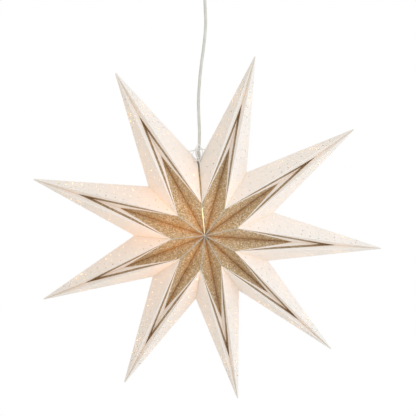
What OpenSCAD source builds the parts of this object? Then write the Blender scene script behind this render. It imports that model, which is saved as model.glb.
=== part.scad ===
// Nine-pointed folded paper star, lit from inside and hung on its supply cord.
// The star's axis lies along Y with its front toward -Y, and +Z is up.
// The origin is on the ceiling, at the middle of the fitting's flat top.

/* [Star] */
// Radius from the star's axis to the blunt end of a spike
tip_r = 300; // [240:1:360]
// Length of point that is missing beyond the blunt end
tip_blunt = 5; // [3:0.5:8]
// Length at the end of each spike that is glued solid
tip_fill = 14; // [10:1:20]
// Radius from the axis to the notch between two spikes
notch_r = 120; // [100:1:135]
// Radius of the ring of raised corners
ring_r = 54; // [44:1:64]
// Height of the raised corners above the star's middle plane
ring_y = 84; // [76:1:96]
// Height of the star's centre point above its middle plane
centre_y = 73; // [64:1:76]
// Thickness of the paper
paper_t = 0.4; // [0.3:0.05:0.6]
// Width of the glue flaps between neighbouring spikes
flap_w = 10; // [7:0.5:12]
// Diameter of the small hole left where all the folds meet
centre_hole_d = 3; // [2:0.5:6]
// Height of the star's middle below the ceiling
star_drop = 470; // [460:1:520]

/* [Print] */
// Distance from the centre point to the tip of the gold field, along the fold
gold_len = 150; // [120:1:180]
// Distance from the centre point to the apex of the gold vee, along the fold
vee_len = 226; // [200:1:250]
// Width of the gold vee's arms
vee_w = 4.5; // [3:0.25:6]
// Share of an arm's length that has its full width, before it tapers to the raised corner
vee_full = 0.6; // [0.4:0.05:0.8]
// Thickness of the glitter print above the paper
print_t = 0.1; // [0.05:0.05:0.2]

/* [Pinholes] */
// Diameter of the pinholes
pin_d = 2.2; // [1.6:0.1:3]
// Number of pinholes in a row
pins_in_row = 3; // [1:1:3]

/* [Tie] */
// Diameter of the tie string
string_d = 1.2; // [0.8:0.1:1.6]
// Diameter of the punched holes that the string passes through
eyelet_d = 2; // [1.8:0.1:4]
// Distance of the punched holes from the notch, along the spike's edge
eyelet_along = 18; // [14:1:30]
// Distance of the punched holes from the spike's edge
eyelet_in = 4; // [3.5:0.5:8]

/* [Cord] */
// Diameter of the supply cord
cord_d = 5; // [4:0.1:6]
// Clearance on each side of the cord where it passes between the end flaps
seam_clear = 0.3; // [0.2:0.05:1]
// Clearance between the cord and the bushes that it passes through
cord_clear = 0.2; // [0.1:0.05:0.4]

/* [Lamp holder] */
// Distance from the inner corner of the end flaps down to the holder's bush
holder_hang = 9; // [7:1:13]
// Outside diameter of the holder's cap
cap_d = 28; // [26:0.5:30]
// Length of the holder's cap
cap_len = 22; // [18:1:26]
// Length of the holder's lower shell
shell_len = 30; // [26:1:34]
// Diameter of the flange at the shell's mouth
shell_lip_d = 33; // [31:0.5:36]
// Wall of the cap and the shell
holder_wall = 2; // [1.6:0.1:2.4]
// Clearance between the holder's pieces
holder_clear = 0.2; // [0.1:0.05:0.3]
// Outside diameter of the brass screw sleeve
sleeve_d = 16; // [15.5:0.1:17]
// Wall of the brass screw sleeve
sleeve_wall = 0.5; // [0.4:0.1:0.8]
// Length of the brass screw sleeve
sleeve_len = 18; // [15:1:20]
// Diameter of the bush where the cord enters the cap
bush_d = 10; // [9.5:0.5:11]
// Height of the bush above the cap
bush_h = 8; // [6:0.5:9]

/* [Lamp] */
// Diameter of the lamp's globe
globe_d = 45; // [40:1:50]
// Length of the lamp's neck between its cap and its globe
neck_len = 22; // [18:1:26]
// Diameter of the lamp's screw cap
lamp_cap_d = 13.8; // [13.5:0.1:14]

/* [Ceiling fitting] */
// Diameter of the ceiling cup at its rim
cup_d = 82; // [76:1:96]
// Height of the ceiling cup
cup_h = 60; // [50:1:66]
// Wall of the ceiling cup
cup_wall = 1.6; // [1.2:0.1:2.4]
// Width of the steel ceiling plate
plate_w = 20; // [16:1:26]
// Thickness of the steel ceiling plate
plate_t = 2; // [1.5:0.25:3]
// Distance between the plate's two ceiling screw holes
screw_spacing = 50; // [44:1:54]
// Diameter of the ceiling screw holes
screw_hole_d = 4.5; // [4:0.1:5]
// Length of the plate's turned-down ears
ear_len = 14; // [12:1:18]
// Diameter of the screws that hold the cup to the ears
cup_screw_d = 3; // [2.5:0.1:4]
// Length of the terminal block
block_w = 30; // [24:1:36]
// Depth of the terminal block
block_d = 17; // [14:1:20]
// Height of the terminal block
block_h = 14; // [12:1:18]

/* [Hidden] */
// How far each spike is fanned open, anticlockwise from the seam as seen from the front
SPREAD = [45.5, 42.5, 37.5, 40.5, 36.5, 34.5, 40.5, 40, 39.5];
// Rows of pinholes that fan out from the point of a spike: how far across from the outer edge to the
// ridge each row runs, and how far along from the point to the base it starts, as shares
PIN_ROWS = [[0.2, 0.29], [0.52, 0.34], [0.83, 0.24]];
// Step from pinhole to pinhole, as a share of the row, and the sides of each hole
pin_step = 0.3;
pin_sides = 6;
// Direction of the seam round the star's axis, from +X toward +Z
seam_az = 95.2;
// The gap at the seam that lets the cord pass the inner corner of the end flaps
flap_corner_r = notch_r - flap_w / sin(atan2(ring_y, notch_r - ring_r));
seam_gap = 2 * asin((cord_d / 2 + seam_clear) / flap_corner_r);
// The supply cord's route, from the terminal block down to the seam above the lamp holder
CORD = [
    [0, 0, -16], [0, 0, -28], [0, 0, -40], [0, 0, -52], [0, 0, -64], [0, 0, -76], [0, 0, -88],
    [0.5, 0, -100], [1, 0, -112], [1.5, 0, -124], [1, 0, -137], [0, 0, -150], [-1.5, 0, -163],
    [-3, 0, -175], [-5, 0, -188], [-6.5, 0, -201], [-8, 0, -214], [-9, 0, -227], [-10, 0, -240],
    [-10.5, 0, -252], [-10.5, 0, -264], [-10, 0, -277], [-9.5, 0, -290], [-9, 0, -302],
    [-9, 0, -314], [-9.5, 0, -326], [-10.5, 0, -338], [-10.8, 0, -350], [-9.7, 0, -363]
];
cord_sides = 10;
// The lamp holder hangs straight below the end of the cord
holder_x = -9;
holder_drop = star_drop - flap_corner_r + holder_hang + bush_h;
holder_r = cap_d / 2;
shell_top = holder_drop + cap_len;
shell_end = shell_top + shell_len;
core_h = 8;
core_top = shell_top - core_h / 2;
collar_len = sleeve_len - 2;
cup_top_gap = 1;
cup_hole_d = bush_d + 2 * holder_clear;
grip_flange_h = 4;
$fn = 48;

// Vectors and planes
function unit(v) = v / norm(v);
// A wall is [its outward normal, its distance from the origin], through three points
function wall(a, b, c) = let (n = unit(cross(b - a, c - a))) [n, n * a];
// The same wall with its face moved inward
function inward(w, depth) = [w[0], w[1] - depth];
// The point that three walls share
function meet(a, b, c) = (a[1] * cross(b[0], c[0]) + b[1] * cross(c[0], a[0]) + c[1] * cross(a[0], b[0]))
    / (a[0] * cross(b[0], c[0]));
// The corner b of the flat outline a, b, c, moved inward from both of its edges
function left_of(a, b) = unit([a.y - b.y, b.x - a.x]);
function inset_corner(a, b, c, depth) = let (m = left_of(a, b), n = left_of(b, c))
    b + (m + n) * depth / (1 + m * n);

// Spread, middle and frame of each spike
spread_scale = (360 - seam_gap) / sum(SPREAD, len(SPREAD));
function sum(list, count) = count == 0 ? 0 : list[count - 1] + sum(list, count - 1);
function half_angle(i) = SPREAD[i] * spread_scale / 2;
function middle_az(i) = seam_az + seam_gap / 2 + sum(SPREAD, i) * spread_scale + half_angle(i);

// Corners of a spike whose fold runs along +X: side is 1 or -1 round the axis, face is -1 in front
function around(r, az, y) = [r * cos(az), y, r * sin(az)];
function centre_point(face) = [0, face * centre_y, 0];
function ring_corner(half, side, face) = around(ring_r, side * half, face * ring_y);
function notch_corner(half, side) = around(notch_r, side * half, 0);
apex = [tip_r + tip_blunt, 0, 0];

// The walls of a spike, each facing outward
function gusset_wall(half, side, face) = side * face < 0
    ? wall(centre_point(face), apex, ring_corner(half, side, face))
    : wall(centre_point(face), ring_corner(half, side, face), apex);
function outer_wall(half, side, face) = side * face < 0
    ? wall(ring_corner(half, side, face), apex, notch_corner(half, side))
    : wall(ring_corner(half, side, face), notch_corner(half, side), apex);
function side_wall(half, side) = [[-sin(half), 0, side * cos(half)], 0];

// A closed spike from its nine corners
module spike_body(centres, rings, notches, point) {
    polyhedron(
        points = concat(centres, rings, notches, [point]),
        faces = [
            [0, 2, 8], [0, 8, 3], [2, 6, 8], [3, 8, 7],
            [1, 8, 4], [1, 5, 8], [4, 8, 6], [5, 7, 8],
            [0, 1, 4, 6, 2], [0, 3, 7, 5, 1]
        ]
    );
}

module spike_outside(half) {
    spike_body(
        [centre_point(-1), centre_point(1)],
        [for (face = [-1, 1], side = [1, -1]) ring_corner(half, side, face)],
        [notch_corner(half, 1), notch_corner(half, -1)],
        apex
    );
}

// The hollow inside, one paper thickness in from every wall
module spike_inside(half) {
    gussets = [for (face = [-1, 1], side = [1, -1]) inward(gusset_wall(half, side, face), paper_t)];
    outers = [for (face = [-1, 1], side = [1, -1]) inward(outer_wall(half, side, face), paper_t)];
    sides = [for (side = [1, -1]) inward(side_wall(half, side), paper_t)];
    spike_body(
        [meet(gussets[0], gussets[1], sides[0]), meet(gussets[2], gussets[3], sides[0])],
        [for (k = [0 : 3]) meet(gussets[k], outers[k], sides[k % 2])],
        [meet(outers[0], outers[2], sides[0]), meet(outers[1], outers[3], sides[1])],
        apex - [tip_fill, 0, 0]
    );
}

// The opening inside the glue flaps, cut through one side of a spike
module flap_window(half, side) {
    edge = [[0, -centre_y], [ring_r, -ring_y], [notch_r, 0], [ring_r, ring_y], [0, centre_y]];
    rim = [for (k = [1 : 3]) inset_corner(edge[k - 1], edge[k], edge[k + 1], flap_w)];
    past_axis = (edge[0] - edge[1]) * 0.1;
    first = edge[0] + past_axis + left_of(edge[0], edge[1]) * flap_w;
    rotate([0, -side * half, 0])
        linear_extrude(height = 6 * paper_t, center = true)
            polygon(concat([first], rim, [[first.x, -first.y]]));
}

// A punched hole near the edge of an outer wall
function edge_along(half, side) = unit(apex - notch_corner(half, side));
function edge_in(half, side, face) = unit(cross(edge_along(half, side), outer_wall(half, side, face)[0]))
    * -side * face;
function eyelet(half, side, face, lift) = notch_corner(half, side)
    + edge_along(half, side) * eyelet_along
    + edge_in(half, side, face) * eyelet_in
    + outer_wall(half, side, face)[0] * lift;
module punch(half, side, face)
    hole_through(eyelet(half, side, face, 0), outer_wall(half, side, face)[0], eyelet_d, $fn);

// A hole through the paper at a place on a wall, along the wall's normal
module hole_through(place, n, d, sides)
    translate(place - n * 3 * paper_t)
        rotate([0, acos(n.z), atan2(n.y, n.x)])
            cylinder(d = d, h = 6 * paper_t, $fn = sides);

// The pinholes of an outer wall
function pin_places(half, side, face) = let (
    notch = notch_corner(half, side),
    base = ring_corner(half, side, face) - notch
) [
    for (row = PIN_ROWS, k = [0 : pins_in_row - 1])
        apex + (notch + base * row[0] - apex) * (row[1] + k * pin_step)
];
module pinholes(half, side, face)
    for (place = pin_places(half, side, face))
        hole_through(place, outer_wall(half, side, face)[0], pin_d, pin_sides);

// A field of glitter print on a gusset wall
module print_field(points, n, face) {
    count = len(points);
    top = [for (p = points) p + n * print_t];
    bed = [for (p = points) p - [0, face * paper_t / 2, 0]];
    turn = cross(points[1] - points[0], points[2] - points[0]) * n > 0;
    up = [for (k = [0 : count - 1]) turn ? count - 1 - k : k];
    polyhedron(
        points = concat([for (k = up) top[k]], [for (k = up) bed[k]]),
        faces = concat(
            [[for (k = [0 : count - 1]) k]],
            [[for (k = [count - 1 : -1 : 0]) k + count]],
            [for (k = [0 : count - 1]) [(k + 1) % count, k, k + count, (k + 1) % count + count]]
        )
    );
}

module gold_print(half, side, face) {
    n = gusset_wall(half, side, face)[0];
    centre = centre_point(face);
    ring = ring_corner(half, side, face);
    fold = unit(apex - centre);
    vee_top = centre + fold * vee_len;
    arm = unit(ring - vee_top);
    across = cross(n, arm) * side * -face;
    vee_end = ring - arm * vee_w;
    shoulder = vee_top + (vee_end - vee_top) * vee_full + across * vee_w;
    print_field([centre, ring, centre + fold * gold_len], n, face);
    print_field([vee_top, vee_end, shoulder, vee_top - fold * vee_w / (across * -fold)], n, face);
}

// One folded spike with its glue flaps and print
module spike(i) {
    half = half_angle(i);
    last = len(SPREAD) - 1;
    translate([0, 0, -star_drop])
        rotate([0, -middle_az(i), 0])
            difference() {
                union() {
                    color("ivory")
                        difference() {
                            spike_outside(half);
                            spike_inside(half);
                            for (side = [1, -1]) flap_window(half, side);
                        }
                    color("tan")
                        for (face = [-1, 1], side = [1, -1]) gold_print(half, side, face);
                }
                rotate([90, 0, 0])
                    cylinder(d = centre_hole_d, h = 3 * centre_y, center = true);
                translate([tip_r, -tip_r / 2, -tip_r / 2])
                    cube(tip_r);
                for (face = [-1, 1], side = [1, -1]) pinholes(half, side, face);
                if (i == 0)
                    for (face = [-1, 1]) punch(half, -1, face);
                if (i == last)
                    for (face = [-1, 1]) punch(half, 1, face);
            }
}

// A round tube along a list of points
function tangent(path, k, closed) = let (count = len(path))
    closed ? unit(path[(k + 1) % count] - path[(k + count - 1) % count])
           : unit(path[min(k + 1, count - 1)] - path[max(k - 1, 0)]);
function ring_at(p, t, ref, r, sides) = let (u = unit(cross(t, ref)), v = cross(t, u))
    [for (s = [0 : sides - 1]) p + r * (u * cos(360 * s / sides) + v * sin(360 * s / sides))];
module tube(path, r, sides, ref) {
    count = len(path);
    polyhedron(
        points = [for (k = [0 : count - 1]) each ring_at(path[k], tangent(path, k, false), ref, r, sides)],
        faces = concat(
            [[for (s = [0 : sides - 1]) s]],
            [for (k = [0 : count - 2], s = [0 : sides - 1]) let (a = k * sides + s, b = k * sides + (s + 1) % sides)
                each [[a, a + sides, b + sides], [a, b + sides, b]]],
            [[for (s = [sides - 1 : -1 : 0]) (count - 1) * sides + s]]
        )
    );
}

module supply_cord() {
    into_holder = [for (down = [-bush_h, 2, 11]) [holder_x, 0, -holder_drop - down]];
    color("gainsboro")
        tube(concat(CORD, into_holder), cord_d / 2, cord_sides, [0, 1, 0]);
}

// Stacks a turned part from its half outline
module turned(x, z, outline) {
    translate([x, 0, z])
        rotate_extrude()
            polygon(outline);
}

module cord_bush() {
    bore = cord_d / 2 + cord_clear;
    color("white")
        turned(holder_x, -holder_drop, [
            [bore, 0], [bush_d / 2, 0], [bush_d / 2, bush_h - 2], [bore + 1, bush_h], [bore, bush_h]
        ]);
}

module holder_cap() {
    inner = holder_r - holder_wall;
    bore = cord_d / 2 + cord_clear;
    color("white")
        turned(holder_x, -shell_top, [
            [inner, 0], [holder_r, 0], [holder_r, cap_len - 8], [holder_r - 2, cap_len - 3],
            [holder_r - 6, cap_len], [bore, cap_len], [bore, cap_len - holder_wall],
            [inner - 5, cap_len - holder_wall], [inner, cap_len - 9]
        ]);
}

// The plastic core that carries the sleeve and the contact
module holder_core() {
    outer = holder_r - holder_wall - holder_clear;
    collar = sleeve_d / 2 + holder_clear;
    color("whitesmoke")
        difference() {
            translate([holder_x, 0, -core_top - core_h - collar_len])
                difference() {
                    union() {
                        cylinder(r = collar + 2, h = collar_len + 1);
                        translate([0, 0, collar_len])
                            cylinder(r = outer, h = core_h);
                    }
                    translate([0, 0, -1])
                        cylinder(r = collar, h = collar_len + 1);
                }
            for (side = [-1, 1])
                translate([holder_x + side * 7, 0, -core_top - 5])
                    cylinder(d = 3, h = 6);
        }
}

module screw_sleeve() {
    color("goldenrod")
        translate([holder_x, 0, -core_top - core_h - sleeve_len])
            difference() {
                cylinder(d = sleeve_d, h = sleeve_len);
                translate([0, 0, -1])
                    cylinder(d = sleeve_d - 2 * sleeve_wall, h = sleeve_len + 2);
            }
}

module centre_contact() {
    color("goldenrod")
        translate([holder_x, 0, -core_top - core_h - 0.8])
            cylinder(d = 5, h = 0.8);
}

module holder_shell() {
    inner = holder_r - holder_wall;
    ledge = sleeve_d / 2 + holder_clear + 2 + holder_clear;
    color("white")
        turned(holder_x, -shell_end, [
            [inner, 3], [shell_lip_d / 2, 0], [shell_lip_d / 2, 2.5], [holder_r, 5],
            [holder_r, shell_len], [inner, shell_len], [inner, shell_len - core_h / 2],
            [ledge, shell_len - core_h / 2], [ledge, shell_len - core_h / 2 - 2],
            [inner, shell_len - core_h / 2 - 4]
        ]);
}

// The sealed lamp, cap upward
module led_lamp() {
    cap_r = lamp_cap_d / 2;
    cap_h = sleeve_len - 1;
    top = -core_top - core_h - 1;
    globe_z = -cap_h - neck_len - globe_d / 2 + 4;
    color("white")
        translate([holder_x, 0, top])
            union() {
                translate([0, 0, -cap_h])
                    cylinder(r = cap_r, h = cap_h - 2);
                translate([0, 0, -2.5])
                    cylinder(d1 = lamp_cap_d, d2 = 5, h = 2.5);
                translate([0, 0, -cap_h - neck_len])
                    cylinder(r1 = globe_d * 0.33, r2 = cap_r, h = neck_len);
                translate([0, 0, globe_z])
                    sphere(d = globe_d);
            }
}

// Steel plate that is screwed to the ceiling, with its ends and ears curved to fit the cup
module ceiling_plate() {
    end_r = cup_d / 2 - cup_wall - holder_clear;
    color("silver")
        difference() {
            union() {
                intersection() {
                    translate([-end_r, -plate_w / 2, -plate_t])
                        cube([2 * end_r, plate_w, plate_t]);
                    translate([0, 0, -plate_t])
                        cylinder(r = end_r, h = plate_t);
                }
                intersection() {
                    translate([-end_r, -plate_w / 4, -ear_len])
                        cube([2 * end_r, plate_w / 2, ear_len - plate_t / 2]);
                    translate([0, 0, -ear_len])
                        difference() {
                            cylinder(r = end_r, h = ear_len);
                            translate([0, 0, -1])
                                cylinder(r = end_r - plate_t, h = ear_len + 2);
                        }
                }
            }
            for (side = [-1, 1]) {
                translate([side * screw_spacing / 2, 0, -plate_t - 1])
                    cylinder(d = screw_hole_d, h = plate_t + 2);
                cup_screw_axis(side)
                    cylinder(d = cup_screw_d + 0.2, h = 12, center = true);
            }
        }
}

// Places a part on the axis of a cup screw, pointing outward
module cup_screw_axis(side) {
    translate([side * (cup_d / 2 - cup_wall - plate_t / 2), 0, -ear_len + 4])
        rotate([0, side * 90, 0])
            children();
}

module ceiling_cup() {
    rim = cup_d / 2;
    foot = rim * 0.62;
    hole = cup_hole_d / 2;
    color("white")
        difference() {
            turned(0, -cup_top_gap - cup_h, [
                [hole, 0], [foot - 4, 0], [foot, 4], [rim - 4, cup_h - 22], [rim, cup_h - 16], [rim, cup_h],
                [rim - cup_wall, cup_h], [rim - cup_wall, cup_h - 16], [rim - 4 - cup_wall, cup_h - 21.5],
                [foot - cup_wall, 4.5], [foot - 4.5, cup_wall], [hole, cup_wall]
            ]);
            for (side = [-1, 1])
                cup_screw_axis(side)
                    cylinder(d = cup_screw_d + 0.4, h = 12, center = true);
        }
}

module cup_screws() {
    color("silver")
        for (side = [-1, 1])
            cup_screw_axis(side)
                union() {
                    translate([0, 0, -4])
                        cylinder(d = cup_screw_d, h = 4 + plate_t / 2 + cup_wall);
                    translate([0, 0, plate_t / 2 + cup_wall])
                        cylinder(d1 = 2 * cup_screw_d, d2 = 1.4 * cup_screw_d, h = 2);
                }
}

// Cord grip in the bottom of the cup, with its nut inside
module cup_grip() {
    bore = cord_d / 2 + cord_clear;
    color("white")
        turned(0, -cup_top_gap - cup_h, [
            [bore, -18], [bore + 1.4, -18], [bush_d / 2 + 2, -grip_flange_h], [bush_d / 2 + 2, 0],
            [bush_d / 2, 0], [bush_d / 2, cup_wall + 8], [bore, cup_wall + 8]
        ]);
}

module grip_nut() {
    color("white")
        translate([0, 0, -cup_top_gap - cup_h + cup_wall])
            difference() {
                cylinder(d = bush_d + 7, h = 5, $fn = 6);
                translate([0, 0, -1])
                    cylinder(d = bush_d + 2 * holder_clear, h = 7);
            }
}

module terminal_block() {
    color("ivory")
        difference() {
            translate([-block_w / 2, -block_d / 2, -plate_t - block_h])
                cube([block_w, block_d, block_h]);
            for (x = [-1, 0, 1])
                translate([x * block_w / 3.4, 0, -plate_t - block_h - 1])
                    cylinder(d = 3.2, h = 9);
        }
}

// Tie string through the punched holes and round the cord
function star_point(i, p) = let (a = middle_az(i))
    [p.x * cos(a) - p.z * sin(a), p.y, p.x * sin(a) + p.z * cos(a) - star_drop];
function smooth(path, steps) = let (count = len(path)) [
    for (k = [0 : count - 2], s = [0 : steps - 1])
        let (
            a = path[max(k - 1, 0)], b = path[k], c = path[k + 1], d = path[min(k + 2, count - 1)],
            t = s / steps
        )
        0.5 * (2 * b + (c - a) * t + (2 * a - 5 * b + 4 * c - d) * t * t + (3 * b - a - 3 * c + d) * t * t * t),
    path[count - 1]
];

module tie_string() {
    last = len(SPREAD) - 1;
    one = half_angle(0);
    nine = half_angle(last);
    notch_z = notch_r - star_drop;
    above_notch = function (p) p + [0, 0, notch_z];
    string_path = concat(
        [for (p = [[-7.2, -5.4, -1], [-7.6, -4.4, 8], [-10.5, -3.5, 14]]) above_notch(p)],
        [for (lift = [2, 0, -1.5]) star_point(0, eyelet(one, -1, -1, lift))],
        [for (lift = [-1.5, 0, 2]) star_point(0, eyelet(one, -1, 1, lift))],
        [for (p = [[-18, 4.2, 14], [-10.3, 3.3, 16], [-4, 4, 16]]) above_notch(p)],
        [for (lift = [2, 0, -1.5]) star_point(last, eyelet(nine, 1, 1, lift))],
        [for (lift = [-1.5, 0, 2]) star_point(last, eyelet(nine, 1, -1, lift))],
        [
            for (p = [[-5, -4.6, 16], [-11.5, -5, 17], [-15, -5.2, 11], [-13, -5.4, 4], [-8.5, -5.2, 2]])
                above_notch(p)
        ]
    );
    color("gainsboro")
        tube(smooth(string_path, 3), string_d / 2, 6, [0.31, 0.23, 0.92]);
}

spike(0);  // spike_1
spike(1);  // spike_2
spike(2);  // spike_3
spike(3);  // spike_4
spike(4);  // spike_5
spike(5);  // spike_6
spike(6);  // spike_7
spike(7);  // spike_8
spike(8);  // spike_9
tie_string();
supply_cord();
cord_bush();
holder_cap();
holder_core();
screw_sleeve();
centre_contact();
holder_shell();
led_lamp();
ceiling_plate();
ceiling_cup();
cup_screws();
cup_grip();
grip_nut();
terminal_block();
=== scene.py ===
# %% [markdown]
# # A nine-pointed paper star, lit from inside
# The star is a fan of nine folded spikes that hangs on its own supply cord. This lesson loads the packed
# model as a frame, and then dresses it: the sheets of paper with their pinholes and glitter print, the
# string that ties the seam shut, the cord, the lamp inside, and the finish of every hard piece.

# %% Load the frame
import math

import bpy
import numpy as np
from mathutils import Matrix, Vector
from mathutils.geometry import delaunay_2d_cdt


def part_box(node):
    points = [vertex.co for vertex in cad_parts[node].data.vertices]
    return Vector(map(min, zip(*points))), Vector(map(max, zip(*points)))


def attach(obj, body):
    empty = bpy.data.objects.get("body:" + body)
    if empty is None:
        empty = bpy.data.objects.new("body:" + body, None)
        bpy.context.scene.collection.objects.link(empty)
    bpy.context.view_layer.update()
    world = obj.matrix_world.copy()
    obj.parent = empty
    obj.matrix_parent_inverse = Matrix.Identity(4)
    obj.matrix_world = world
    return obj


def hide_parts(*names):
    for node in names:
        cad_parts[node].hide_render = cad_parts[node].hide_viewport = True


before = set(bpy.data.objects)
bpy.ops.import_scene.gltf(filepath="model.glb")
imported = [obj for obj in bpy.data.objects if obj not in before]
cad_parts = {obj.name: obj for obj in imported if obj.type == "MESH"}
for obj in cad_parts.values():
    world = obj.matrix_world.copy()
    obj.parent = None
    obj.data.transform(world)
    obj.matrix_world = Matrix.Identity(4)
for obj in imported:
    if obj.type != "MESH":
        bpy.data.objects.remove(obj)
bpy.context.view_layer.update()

MM = 0.001

# %% [markdown]
# ## Small helpers
# A mesh here always starts as arrays: points in millimetres, then faces. One function makes the object,
# and leaves it at the origin with its place in its mesh, so that a pattern on Object coordinates stays put.


# %% Arrays to objects
def unit(v):
    """A vector, or each row of an array of vectors, divided by its length."""
    v = np.asarray(v, float)
    return v / np.linalg.norm(v, axis=-1, keepdims=True)


def mesh_piece(name, points, faces, materials, slots=None, smooth=True, maps=None):
    """An object from points in millimetres: each point times 0.001 is its place in metres.

    slots holds each face's material number. maps gives, for each UV map, one pair of numbers for each point,
    and every corner of a face takes the pair of the point that it stands on.
    """
    mesh = bpy.data.meshes.new(name)
    mesh.from_pydata((np.asarray(points, float) * MM).tolist(), [], [list(map(int, f)) for f in faces])
    for material in materials:
        mesh.materials.append(material)
    if slots is not None:
        mesh.polygons.foreach_set("material_index", np.asarray(slots, np.int32))
    mesh.polygons.foreach_set("use_smooth", np.full(len(mesh.polygons), smooth))
    corners = np.empty(len(mesh.loops), np.int32)
    mesh.loops.foreach_get("vertex_index", corners)
    for key, pairs in (maps or {}).items():
        layer = mesh.uv_layers.new(name=key)
        layer.data.foreach_set("uv", np.asarray(pairs, np.float32)[corners].ravel())
    mesh.update()
    piece = bpy.data.objects.new(name, mesh)
    bpy.context.scene.collection.objects.link(piece)
    return piece


print("unit([3, 4, 0]) gives", unit([3, 4, 0]))

# %% [markdown]
# ### Cords and strings
# A cord or a string is a circle carried along a path. A few points give the path, and a Catmull-Rom curve
# rounds it. A curve object with a bevel would do as well, but arrays give the length and the faces at once.


# %% A smooth path
def ease(path, per_span):
    """Catmull-Rom: each span becomes per_span steps of a cubic that heeds the points beside it.

    With a, b, c and d in a row, the cubic from b to c is half of
    2b + (c - a) t + (2a - 5b + 4c - d) t^2 + (3b - a - 3c + d) t^3.
    """
    path = np.asarray(path, float)
    ends = np.vstack([2 * path[0] - path[1], path, 2 * path[-1] - path[-2]])
    a, b, c, d = ends[:-3, None], ends[1:-2, None], ends[2:-1, None], ends[3:, None]
    t = (np.arange(per_span) / per_span)[None, :, None]
    spans = 0.5 * (2 * b + (c - a) * t + (2 * a - 5 * b + 4 * c - d) * t**2 + (3 * b - a - 3 * c + d) * t**3)
    return np.vstack([spans.reshape(-1, 3), path[-1:]])


print("A corner of 3 points eased in 4 steps has", len(ease([[0, 0, 0], [1, 0, 0], [1, 1, 0]], 4)), "points")


# %% A round tube
# A direction that no path here starts along, so crossing with it always gives one across the path.
OFF_PATH = [0.3, 0.9, 0.2]


def tube(path, radius, sides):
    """A circle square to the path at each of its points, turned as little as possible from the last.

    Each point's direction across the path is the last one's, less its part along the path, made a unit
    again. That loop goes once for each point of the path, and all the circles are then worked out together.
    A point on a circle is: path + radius (across cos angle + other sin angle).
    """
    path = np.asarray(path, float)
    along = unit(np.gradient(path, axis=0))
    across = np.zeros_like(path)
    across[0] = unit(np.cross(along[0], OFF_PATH))
    for k in range(1, len(path)):
        across[k] = unit(across[k - 1] - along[k] * (across[k - 1] @ along[k]))
    other = np.cross(along, across)
    angle = np.linspace(0, 2 * np.pi, sides, endpoint=False)[None, :, None]
    rings = path[:, None] + radius * (across[:, None] * np.cos(angle) + other[:, None] * np.sin(angle))
    k, s = np.meshgrid(np.arange(len(path) - 1), np.arange(sides), indexing="ij")
    here, there = k * sides + s, k * sides + (s + 1) % sides
    faces = np.stack([here, there, there + sides, here + sides], -1).reshape(-1, 4).tolist()
    last_ring = np.arange(sides) + (len(path) - 1) * sides
    return rings.reshape(-1, 3), faces + [list(range(sides))[::-1], last_ring.tolist()]


print("A tube of 3 rings with 8 sides has", len(tube([[0, 0, 0], [0, 0, 1], [0, 0, 2]], 1, 8)[1]), "faces")

# %% [markdown]
# ## The camera
# The photograph looks a little down on the star from about five times its radius. The star's middle lies a
# little left of and below the middle of the frame, which a small lens shift gives without turning the view.

# %% Camera
STAR_DROP = 470.0
STAR_MIDDLE = np.array([0.0, 0.0, -STAR_DROP])
VIEW_DISTANCE = 1500.0
VIEW_DOWN = math.radians(7.45)
PICTURE = 416
MIDDLE_IN_PICTURE = (204.8, 229.8)
PIXELS_PER_SLOPE = 886.0
SENSOR = 36

camera_data = bpy.data.cameras.new("camera")
camera_data.sensor_width = SENSOR
camera_data.lens = SENSOR * PIXELS_PER_SLOPE / PICTURE
camera_data.shift_x = (PICTURE / 2 - MIDDLE_IN_PICTURE[0]) / PICTURE
camera_data.shift_y = (MIDDLE_IN_PICTURE[1] - PICTURE / 2) / PICTURE
camera = bpy.data.objects.new("camera", camera_data)
bpy.context.scene.collection.objects.link(camera)
back = Vector((0, -math.cos(VIEW_DOWN), math.sin(VIEW_DOWN)))
camera.location = Vector(STAR_MIDDLE * MM) + back * VIEW_DISTANCE * MM
camera.rotation_mode = "QUATERNION"
camera.rotation_quaternion = (-back).to_track_quat("-Z", "Y")
bpy.context.scene.camera = camera
shifts = round(camera_data.shift_x, 4), round(camera_data.shift_y, 4)
print("Lens", round(camera_data.lens, 1), "mm, shifts", *shifts)

# %% [markdown]
# ## Materials
# Each finish is built with one helper that adds a node with its settings and links. Colours are written as
# they look on a screen and turned to linear light by one function.


# %% Colour and node helpers
def colour(hex_code):
    """An sRGB hex colour as linear red, green and blue, with full alpha.

    A channel c is c / 12.92 up to 0.04045, and ((c + 0.055) / 1.055) to the power 2.4 above.
    """
    parts = [int(hex_code[k:k + 2], 16) / 255 for k in (1, 3, 5)]
    return tuple(c / 12.92 if c <= 0.04045 else ((c + 0.055) / 1.055) ** 2.4 for c in parts) + (1.0,)


def add(tree, kind, settings=None, inputs=None, stops=()):
    """Adds a node. settings are its attributes, and inputs maps a socket to a value or to an output.

    stops are the (position, colour) pairs of a colour ramp.
    """
    made = tree.nodes.new("ShaderNode" + kind)
    for key, value in (settings or {}).items():
        setattr(made, key, value)
    for key, value in (inputs or {}).items():
        if isinstance(value, bpy.types.NodeSocket):
            tree.links.new(value, made.inputs[key])
        else:
            made.inputs[key].default_value = value
    for k, (place, shade) in enumerate(stops):
        if k >= len(made.color_ramp.elements):
            made.color_ramp.elements.new(1.0)
        made.color_ramp.elements[k].position = place
        made.color_ramp.elements[k].color = shade
    return made


def new_material(name):
    """An empty material with its output node, ready for a shader."""
    material = bpy.data.materials.new(name)
    material.use_nodes = True
    tree = material.node_tree
    tree.nodes.clear()
    return material, tree, add(tree, "OutputMaterial")


print("Mid grey #808080 is", round(colour("#808080")[0], 3), "in linear light")

# %% [markdown]
# ### Folds and edges of the sheet
# A fold gets painted shade at its bottom and is pale at its top: a painted highlight on the paper's crest,
# and worn print on the gold ridge. A glued edge gets painted yellow light.
# Two UV maps hold distances, in units of 100 mm: one from the valley fold and the glued ridge, and the other
# from the crest fold and the glued base edge. With them a colour follows a line exactly, without a picture.

# %% Distances to folds
MM_PER_UV = 100.0


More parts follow.
